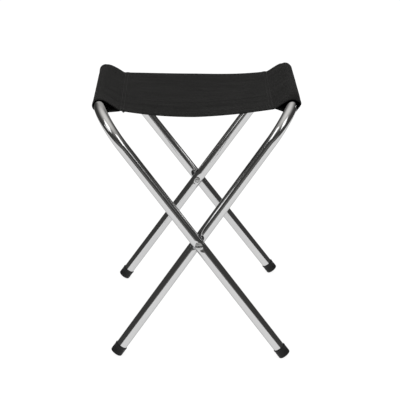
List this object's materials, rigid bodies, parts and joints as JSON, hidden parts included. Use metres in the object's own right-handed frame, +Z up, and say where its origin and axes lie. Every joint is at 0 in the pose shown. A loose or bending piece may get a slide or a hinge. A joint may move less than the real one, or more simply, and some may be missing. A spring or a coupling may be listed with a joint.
{
  "type": "camp stool",
  "caption": "Folding camp stool: two bent chromed tube frames crossed on screws, with a black sling seat sewn round their top bars.",
  "frame": {"origin": "on the floor under the middle of the seat", "axes": "+Z up, -Y is the front, +X is the side that the inner frame's top bar is on"},
  "size_m": [0.3396, 0.4084, 0.4276],
  "materials": {
    "chrome_tube": "polished chrome plate on steel tube",
    "plated_fastener": "dull bright zinc plate",
    "rubber_foot": "moulded matt black rubber",
    "nylon_washer": "black nylon",
    "seat_cloth": "plain woven black polyester, matt",
    "stitching": "black polyester thread"
  },
  "bodies": {
    "outer_frame": {"outer_frame_tube": "chrome_tube", "outer_foot_front": "rubber_foot", "outer_foot_rear": "rubber_foot", "pivot_screw_front": "plated_fastener", "pivot_screw_rear": "plated_fastener", "pivot_nut_front": "plated_fastener", "pivot_nut_rear": "plated_fastener", "pivot_spacer_front": "nylon_washer", "pivot_spacer_rear": "nylon_washer", "seat_panel": "seat_cloth", "seat_sleeve_left": "seat_cloth", "seam_thread_left_outer": "stitching", "seam_thread_left_inner": "stitching", "hem_thread_front": "stitching", "hem_thread_rear": "stitching"},
    "inner_frame": {"inner_frame_tube": "chrome_tube", "inner_foot_front": "rubber_foot", "inner_foot_rear": "rubber_foot", "seat_sleeve_right": "seat_cloth", "seam_thread_right_outer": "stitching", "seam_thread_right_inner": "stitching"}
  },
  "joints": [
    {"name": "frame_fold", "type": "hinge", "parent": "outer_frame", "child": "inner_frame", "pos_m": [0, 0, 0.198], "axis": [0, -1, 0], "range_deg": [0, 66.5], "deforming": ["seat_panel", "seat_sleeve_left", "seat_sleeve_right", "seam_thread_left_outer", "seam_thread_left_inner", "seam_thread_right_outer", "seam_thread_right_inner", "hem_thread_front", "hem_thread_rear"]}
  ]
}
